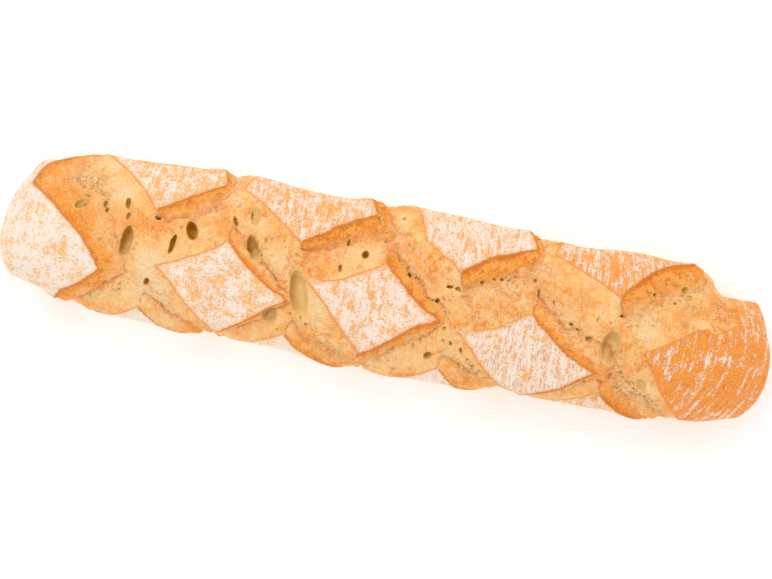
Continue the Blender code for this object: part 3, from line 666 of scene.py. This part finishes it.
def surroundings(flat):
    """What lies around each place: the distance to the nearest plate, less than 0 inside it, then to the
    nearest lifted and thin edges, the direction away from the lifted edge, where the crease runs, how far
    the lifted edge is turning there, and the look there.
    """
    nearest = np.full(len(flat), FAR_AWAY)
    lifted = np.full(len(flat), FAR_AWAY)
    thin = np.full(len(flat), FAR_AWAY)
    lean = np.zeros((len(flat), 2))
    turning = np.zeros(len(flat))
    crease_place = np.zeros(len(flat))
    crease_weights = np.zeros(len(flat))
    look = np.zeros((len(flat), 4))
    look_weights = np.zeros((len(flat), 1))
    whole, out_of_it = distance_to(flat, unrolled(SCORED_ZONE))
    regions = [(-whole, -out_of_it, WHOLE_CREASE, whole_crust_look(flat[:, 0]))]
    for corners, bow, crease, plate_look in all_plates():
        regions.append((*distance_to(flat, unrolled(corners, bow)), crease, np.array(plate_look)))
    for distance, away, crease, region_look in regions:
        to_the_right = smooth_step(away[:, 0], -TURN_BLEND, TURN_BLEND)
        from_lifted = np.abs(distance) + TURN_COST * (1.0 - to_the_right)
        lean = np.where((from_lifted < lifted)[:, None], away, lean)
        nearest = np.minimum(nearest, distance)
        turning = np.where(from_lifted < lifted, 4.0 * to_the_right * (1.0 - to_the_right), turning)
        lifted = np.minimum(lifted, from_lifted)
        thin = np.minimum(thin, np.abs(distance) + TURN_COST * to_the_right)
        weight = np.exp(-from_lifted / CREASE_BLEND)
        crease_place = crease_place + weight * np.interp(flat[:, 0], crease[0::2], crease[1::2])
        crease_weights = crease_weights + weight
        weight = np.exp(-np.clip(distance, -LOOK_REACH, LOOK_REACH) / LOOK_BLEND)[:, None]
        look = look + weight * region_look
        look_weights = look_weights + weight
    return nearest, lifted, thin, lean, crease_place / crease_weights, turning, look / look_weights


def toasting(flat):
    """How much more or less the crumb is toasted here than in most places."""
    toast = np.zeros(len(flat))
    for x, y, half_x, half_y, amount in TOASTED:
        offset = (flat - flat_place(x, y)) / (half_x, half_y)
        reach = np.hypot(offset[:, 0], offset[:, 1])
        toast = toast + amount * np.exp(-(reach**2))
    return np.clip(TOASTED_MIDDLE + TOASTED_MIDDLE * toast, 0.0, 1.0)


def streak_place(points):
    """The places that the streaks of flour are drawn over: straight across the loaf, bent round its ends."""
    bent = STREAK_ARC * np.sign(points[:, 0]) * smooth_step(np.abs(points[:, 0]), *STREAK_ARC_START)
    return np.stack([points[:, 0] + bent * points[:, 1] ** 2, points[:, 1], points[:, 2]], axis=1)


def crust(x, angle, points):
    """The relief in millimetres, how far the crust leans sideways, and the facts that its material needs."""
    flat = np.stack([x, angle * GIRTH_RADIUS], axis=1)
    shifted = points + np.array(ACROSS_SHIFT)
    wobble = [layers(points, EDGE_WOBBLE), layers(shifted, EDGE_WOBBLE)]
    fine_wobble = [layers(points, FINE_WOBBLE), layers(shifted, FINE_WOBBLE)]
    wandered = flat + np.stack(wobble, axis=1)
    around = surroundings(wandered + np.stack(fine_wobble, axis=1))
    nearest, lifted, thin, lean, crease_place, turning, look = around
    crease_place = crease_place + layers(points, CREASE_WANDER) + layers(points, FINE_WANDER)
    place = lifted / ((lifted + thin) * crease_place)

    in_opening = smooth_step(nearest, *FLANK_START)
    faded = 1.0 - smooth_step(np.degrees(np.abs(angle)), *RELIEF_ENDS)
    torn_start, torn_full, torn_ebb, torn_end = TORN_BAND
    torn = smooth_step(place, torn_start, torn_full) * (1.0 - smooth_step(place, torn_ebb, torn_end))
    varied = TORN_MEAN + TORN_SPREAD * noise(points, *TORN_VARIES)
    torn = torn * in_opening * faded * (1.0 - turning) * varied
    flap = (1.0 - smooth_step(place, *FLAP_END)) * in_opening

    large, large_shade = gas_cells(wandered, GAS_CELLS, LARGE_CELL_SHADES)
    open_cells = smooth_step(nearest, *CELL_START)
    small_shades = [SMALL_CELL_SHADE * depth for *_, depth in SMALL_CELLS]
    followed = flat + SMALL_CELL_WOBBLE * np.stack(fine_wobble, axis=1)
    small, small_shade = gas_cells(followed, SMALL_CELLS, small_shades)
    bubbles = torn_sponge(flat, points)
    tear = layers(points, TEARS)
    torn_parts = smooth_step(noise(points, *TORN_PARTS), *TORN_PARTS_RANGE)
    swelling = layers(points, FLANK_SWELLING) + layers(points, CRAGS)
    height = opening_height(nearest, lifted, thin, crease_place, turning)
    height = height + layers(points, SWELLING) + layers(points, FINE_SWELLING)
    height = height + in_opening * swelling + flap * layers(points, FLAP_ROUGHNESS)
    height = height + TEAR_STEP * (smooth_step(tear, -TEAR_WIDTH, TEAR_WIDTH) - 0.5) * torn_parts * in_opening
    height = height + torn * (layers(points, TORN_ROUGHNESS) + bubbles)
    height = height + np.minimum(LARGE_CELL_DEPTH * large * open_cells, small)
    height = height * faded * end_share(x)

    start, most, end = OVERHANG_PLACE
    leaning = smooth_step(place, start, most) * (1.0 - smooth_step(place, most, end))
    leaning = leaning * smooth_step(lifted + thin, *OVERHANG_GAP) * in_opening * faded * end_share(x)
    leaning = leaning * smooth_step(lean[:, 0], *LEAN_FACING)
    lean = lean * (OVERHANG * leaning)[:, None]
    facts = {
        "edge": nearest,
        "place": place,
        "lifted": lifted,
        "thin": thin,
        "torn": torn,
        # painted shade in the gas cells, over the crumb's own olive brown
        "cell_colour_and_shade": np.maximum(large_shade * open_cells, small_shade) * faded,
        # painted shade in the pits of the torn sponge
        "pit_shade": np.clip(-torn * bubbles, 0.0, 1.0),
        **dict(zip(LOOK_NAMES, look.T)),
        "raised": np.clip(0.5 + swelling / RAISED_RANGE, 0.0, 1.0),
        "toast": toasting(wandered),
        "tear": tear,
        "torn_parts": torn_parts,
    }
    return height, lean, facts


def even_spacing(share):
    """x for each share of the way along the loaf, with even steps over the blunt ends too."""
    x = HALF_LENGTH * np.sin(np.linspace(-math.pi / 2, math.pi / 2, SPACING_STEPS))
    steps = np.hypot(np.diff(x), np.diff(EQUATOR_HEIGHT * end_share(x)))
    way = np.concatenate([[0.0], np.cumsum(steps)])
    return np.interp(share * way[-1], way, x)


def points_of(mesh):
    """The places of the mesh's vertices, one to a row."""
    points = np.empty(len(mesh.vertices) * 3)
    mesh.vertices.foreach_get("co", points)
    return points.reshape(-1, 3)


def shape_loaf(mesh):
    """Moves the vertices of a round ball with its poles on the Z axis to the loaf's crust."""
    ball = points_of(mesh)
    share = np.arccos(np.clip(-ball[:, 2], -1.0, 1.0)) / math.pi
    turn = np.arctan2(-ball[:, 1], ball[:, 0])  # the minus keeps the faces pointing out
    x = even_spacing(share)
    angle = turn - TOP_CROWDING * np.sin(turn)
    points = body_point(x, angle)
    height, lean, facts = crust(x, angle, points)
    leaned = body_point(np.clip(x + lean[:, 0], -HALF_LENGTH, HALF_LENGTH), angle + lean[:, 1] / GIRTH_RADIUS)
    points = leaned + body_normal(x, angle) * height[:, None]
    points[:, 2] = np.maximum(points[:, 2] - BASE_CUT, 0.0)
    mesh.vertices.foreach_set("co", (points * METRE).ravel())
    for name, values in facts.items():
        attribute = mesh.attributes.new(name, "FLOAT", "POINT")
        attribute.data.foreach_set("value", values.astype(np.float32))
    streaks = mesh.attributes.new("streak_place", "FLOAT_VECTOR", "POINT")
    streaks.data.foreach_set("vector", (streak_place(points) * METRE).astype(np.float32).ravel())
    mesh.update()


def fit_to_box(mesh, low, high):
    """Moves the mesh along X and Y so that its middle is the middle of the CAD loaf's box."""
    points = points_of(mesh)
    middle = (points.min(axis=0) + points.max(axis=0)) / 2
    points[:, :2] += (np.array(low)[:2] + np.array(high)[:2]) / 2 - middle[:2]
    mesh.vertices.foreach_set("co", points.ravel())
    mesh.update()


def add_object(name, data):
    """A new object in the scene."""
    added = bpy.data.objects.new(name, data)
    bpy.context.scene.collection.objects.link(added)
    return added


def add_crust(material):
    """The loaf's crust: a ball of many points, shaped and thinned to one mesh that replaces the CAD loaf."""
    mesh = bpy.data.meshes.new("loaf_crust")
    ball = bmesh.new()
    bmesh.ops.create_uvsphere(ball, u_segments=AROUND, v_segments=RINGS, radius=1.0)
    bmesh.ops.triangulate(ball, faces=ball.faces)
    fine_triangles = len(ball.faces)
    ball.to_mesh(mesh)
    ball.free()
    shape_loaf(mesh)
    shaped = add_object("shaped", mesh)
    thinning = shaped.modifiers.new("thinning", "DECIMATE")
    thinning.ratio = TRIANGLES / fine_triangles
    seen = shaped.evaluated_get(bpy.context.evaluated_depsgraph_get())
    thinned = bpy.data.meshes.new_from_object(seen)
    bpy.data.objects.remove(shaped)
    thinned.name = "crust"
    thinned.materials.append(material)
    thinned.shade_smooth()
    fit_to_box(thinned, *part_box("loaf"))
    piece = add_object("crust", thinned)
    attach(piece, "root")
    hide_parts("loaf")
    return piece


class Nodes:
    """Short names for the shader nodes that the crust is mixed from, and the values that they share."""

    def __init__(self, tree):
        self.tree = tree
        self.place = tree.nodes.new("ShaderNodeTexCoord").outputs["Object"]
        self.values = {}

    def feed(self, socket, value):
        """Links a node's output to the socket, or sets the socket to a constant."""
        if isinstance(value, bpy.types.NodeSocket):
            self.tree.links.new(value, socket)
        else:
            socket.default_value = value

    def fact(self, name, output="Fac"):
        """One of the facts kept with the mesh."""
        node = self.tree.nodes.new("ShaderNodeAttribute")
        node.attribute_name = name
        return node.outputs[output]

    def __getitem__(self, name):
        """The value kept under this name, or else the fact of this name."""
        if name not in self.values:
            self.values[name] = self.fact(name)
        return self.values[name]

    def __setitem__(self, name, value):
        self.values[name] = value

    def grain(self, wavelength, detail, roughness, shift, stretch=(1.0, 1.0, 1.0), place=None):
        """Noise of this wavelength in millimetres, about 0 to 1, drawn out where the stretch is over 1."""
        mapping = self.tree.nodes.new("ShaderNodeMapping")
        mapping.inputs["Location"].default_value = (shift, shift, shift)
        scale = 1.0 / (wavelength * METRE)
        mapping.inputs["Scale"].default_value = [scale / side for side in stretch]
        self.tree.links.new(place or self.place, mapping.inputs["Vector"])
        node = self.tree.nodes.new("ShaderNodeTexNoise")
        node.inputs["Scale"].default_value = 1.0
        node.inputs["Detail"].default_value = detail
        node.inputs["Roughness"].default_value = roughness
        self.tree.links.new(mapping.outputs["Vector"], node.inputs["Vector"])
        return node.outputs["Fac"]

    def math(self, operation, first, second=0.0, third=0.0):
        """One step of arithmetic."""
        node = self.tree.nodes.new("ShaderNodeMath")
        node.operation = operation
        for socket, value in zip(node.inputs, (first, second, third)):
            self.feed(socket, value)
        return node.outputs["Value"]

    def product(self, first, *others):
        """All the values multiplied."""
        for other in others:
            first = self.math("MULTIPLY", first, other)
        return first

    def wandering(self, name, grain, wander):
        """A value moved to and fro by a grain."""
        return self.math("MULTIPLY_ADD", self.math("SUBTRACT", self[grain], 0.5), wander, self[name])

    def sum(self, weights):
        """The sum of the values with these names, each times its weight."""
        total = 0.0
        for name, weight in weights.items():
            total = self.math("MULTIPLY_ADD", self[name], weight, total)
        return total

    def step(self, value, low, high):
        """0 below low, 1 above high, and an even rise between. With low over high it falls."""
        node = self.tree.nodes.new("ShaderNodeMapRange")
        node.interpolation_type = "SMOOTHSTEP"
        constant = not isinstance(low, bpy.types.NodeSocket)
        falls = constant and low > high
        first, last = (high, low) if falls else (low, high)
        self.feed(node.inputs["Value"], value)
        self.feed(node.inputs["From Min"], first)
        self.feed(node.inputs["From Max"], last)
        node.inputs["To Min"].default_value = 1.0 if falls else 0.0
        node.inputs["To Max"].default_value = 0.0 if falls else 1.0
        return node.outputs["Result"]

    def mix(self, share, first, second):
        """The first colour where the share is 0, and the second where it is 1."""
        node = self.tree.nodes.new("ShaderNodeMix")
        node.data_type = "RGBA"
        self.feed(node.inputs["Factor"], share)
        self.feed(node.inputs["A"], first)
        self.feed(node.inputs["B"], second)
        return node.outputs["Result"]

    def layered(self, colour, rows):
        """The colour with these layers over it."""
        for name, start, full, cover, layer_colour in rows:
            share = self.product(self.step(self[name], start, full), cover)
            colour = self.mix(share, colour, layer_colour)
        return colour


def flour_cover(nodes):
    """How far the flour covers a plate: grains of it in a patchy haze, both drawn out along the streaks."""
    wrinkle = nodes.math("SUBTRACT", nodes["wrinkles"], 0.5)
    nodes["drawn_out"] = nodes.product(wrinkle, nodes["streak"])
    middle = nodes.math("SUBTRACT", HAZE_MIDDLE, nodes.product(nodes["flour"], HAZE_FLOURED))
    start = nodes.math("SUBTRACT", middle, HAZE_SPREAD)
    full = nodes.math("ADD", middle, HAZE_SPREAD)
    nodes["haze"] = nodes.step(nodes.sum(HAZE_NOISE), start, full)
    nodes["flour_grains"] = nodes.step(nodes.sum(FLOUR_NOISE), *FLOUR_START)
    return nodes.sum(FLOUR_COVER)


def crack_cover(nodes):
    """Fine cracks across a plate, in some patches, where its flour runs in streaks."""
    from_crack = nodes.math("ABSOLUTE", nodes.math("SUBTRACT", nodes["wrinkles"], CRACK_MIDDLE))
    streaks = nodes.step(nodes["streak"], *CRACK_STREAKS)
    patches = nodes.step(nodes["patch"], *CRACK_PATCHES)
    return nodes.product(nodes.step(from_crack, *CRACK_WIDTH), streaks, patches, CRACK_COVER)


def plate_colour(nodes):
    """Baked crust with grains of flour on it, wrinkled across the loaf, with a browner rim."""
    tone = nodes["tone"]
    baked_more = nodes.step(nodes.sum(BAKED_MORE_NOISE), *BAKED_MORE_START)
    baked = nodes.mix(baked_more, nodes.mix(tone, *BAKED), nodes.mix(tone, *BAKED_MORE))
    colour = nodes.mix(flour_cover(nodes), baked, nodes.mix(tone, *FLOUR))
    colour = nodes.mix(crack_cover(nodes), colour, CRACK_COLOUR)
    margin = nodes.step(nodes.wandering("edge", "blotch", MARGIN_WANDER), *MARGIN_START)
    colour = nodes.mix(nodes.product(margin, MARGIN_COVER), colour, baked)
    rim_edge = nodes.wandering("edge", "fine", RIM_WANDER)
    for fact, reach, nearness, cover, rim_colour in RIMS:
        rim = nodes.product(nodes.step(rim_edge, *reach), nodes.step(nodes[fact], *nearness), cover)
        colour = nodes.mix(rim, colour, rim_colour)
    return colour


def torn_steps(nodes, crumb):
    """The crumb's colour with the torn steps in it."""
    tear = nodes.math("SUBTRACT", nodes.sum(TEAR_NOISE), TEAR_NOISE_MIDDLE)
    blotches = nodes.step(nodes["blotch"], *TEAR_BLOTCHES)
    for rise, fall, cover, colours in TEAR_SIDES:
        side = nodes.product(nodes.step(tear, *rise), nodes.step(tear, *fall), nodes["torn_parts"], cover)
        crumb = nodes.mix(side, crumb, nodes.mix(blotches, *colours))
    return crumb


def opening_colour(nodes):
    """A brown flap that falls to the torn pale crease, and mottled crumb past it, with painted shade in the
    pits of the torn sponge.
    """
    nodes["toasting"] = nodes.sum(TOAST_NOISE)
    crumb = torn_steps(nodes, nodes.layered(CRUMB, CRUMB_LAYERS))
    flap_top = nodes.step(nodes["place"], *FLAP_TOP)
    flap_top = nodes.product(flap_top, nodes["flap"], FLAP_TOP_COVER)
    flap = nodes.mix(flap_top, nodes.layered(FLAP, FLAP_LAYERS), FLAP_TOP_COLOUR)
    colour = nodes.mix(nodes.step(nodes.sum(FLAP_END_NOISE), *FLAP_COLOUR_END), crumb, flap)
    torn_colour = nodes.mix(nodes.step(nodes["fine"], *TORN_GRAINS), *TORN_COLOURS)
    colour = nodes.mix(nodes.product(nodes["torn"], TORN_COVER), colour, torn_colour)
    return nodes.layered(colour, OPENING_LAYERS)


def new_material(name, roughness, specular):
    """A new material and its shader."""
    material = bpy.data.materials.new(name)
    material.use_nodes = True
    shader = material.node_tree.nodes["Principled BSDF"]
    shader.inputs["Roughness"].default_value = roughness
    shader.inputs["Specular IOR Level"].default_value = specular
    return material, shader


def crust_material():
    """Floured crust on the plates, and the torn crumb between them, from pale to deep brown, with painted
    shade in the gas cells and in the pits of the torn sponge.
    """
    material, shader = new_material("floured_crust", roughness=0.85, specular=0.25)
    nodes = Nodes(material.node_tree)
    for name, row in GRAINS.items():
        nodes[name] = nodes.grain(*row)
    streak_place = nodes.fact("streak_place", "Vector")
    nodes["wrinkles"] = nodes.grain(*WRINKLES, WRINKLE_STRETCH, streak_place)
    nodes["cracks"] = nodes.product(nodes["streak"], nodes["wrinkles"])
    seam = nodes.step(nodes["edge"], *SEAM)
    colour = nodes.mix(seam, plate_colour(nodes), opening_colour(nodes))
    nodes.feed(shader.inputs["Base Color"], nodes.layered(colour, CELL_COLOUR_AND_SHADE_LAYERS))
    bump = material.node_tree.nodes.new("ShaderNodeBump")
    bump.inputs["Strength"].default_value = 1.0
    bump.inputs["Distance"].default_value = BUMP_HEIGHT * METRE
    nodes.feed(bump.inputs["Height"], nodes.sum(BUMP_NOISE))
    nodes.feed(shader.inputs["Normal"], bump.outputs["Normal"])
    return material


def add_floor():
    """A plain pale floor, just under the loaf."""
    material, shader = new_material("pale_floor", roughness=0.9, specular=0.0)
    shader.inputs["Base Color"].default_value = WHITE
    shader.inputs["Emission Color"].default_value = WHITE
    shader.inputs["Emission Strength"].default_value = FLOOR_GLOW
    mesh = bpy.data.meshes.new("floor")
    plane = bmesh.new()
    bmesh.ops.create_grid(plane, x_segments=1, y_segments=1, size=FLOOR_REACH)
    plane.to_mesh(mesh)
    plane.free()
    mesh.materials.append(material)
    floor = add_object("floor", mesh)
    floor.location.z = FLOOR_HEIGHT


def add_light():
    """Soft studio light: an even fill from all round, and one large lamp over the far side."""
    world = bpy.data.worlds.new("fill")
    world.use_nodes = True
    background = world.node_tree.nodes["Background"]
    background.inputs["Color"].default_value = WHITE
    background.inputs["Strength"].default_value = FILL_STRENGTH
    bpy.context.scene.world = world
    lamp = bpy.data.lights.new("softbox", "AREA")
    lamp.shape = "DISK"
    lamp.size = LAMP_SIZE
    lamp.energy = LAMP_POWER
    softbox = add_object("softbox", lamp)
    softbox.location = LAMP_PLACE
    softbox.rotation_euler = Vector(LAMP_PLACE).to_track_quat("Z", "Y").to_euler()


def add_camera():
    """The camera looks straight down from far off, placed so that the loaf lies as in the photo."""
    turn = math.radians(LOAF_TURN)
    camera = add_object("camera", bpy.data.cameras.new("camera"))
    camera.data.sensor_fit = "HORIZONTAL"
    camera.data.sensor_width = SENSOR_WIDTH
    camera.data.lens = CAMERA_LENS
    to_the_right = (FRAME_WIDTH_PX / 2 - LOAF_CENTRE_PX[0]) * PIXEL
    upwards = (LOAF_CENTRE_PX[1] - FRAME_HEIGHT_PX / 2) * PIXEL
    distance = FRAME_WIDTH_PX * PIXEL * CAMERA_LENS / SENSOR_WIDTH
    camera.location = (
        (to_the_right * math.cos(turn) - upwards * math.sin(turn)) * METRE,
        (to_the_right * math.sin(turn) + upwards * math.cos(turn)) * METRE,
        (SEEN_HEIGHT + distance) * METRE,
    )
    camera.rotation_euler = (0.0, 0.0, turn)
    bpy.context.scene.camera = camera


bpy.context.scene.view_settings.view_transform = "Standard"
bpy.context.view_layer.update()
add_crust(crust_material())
add_floor()
add_light()
add_camera()
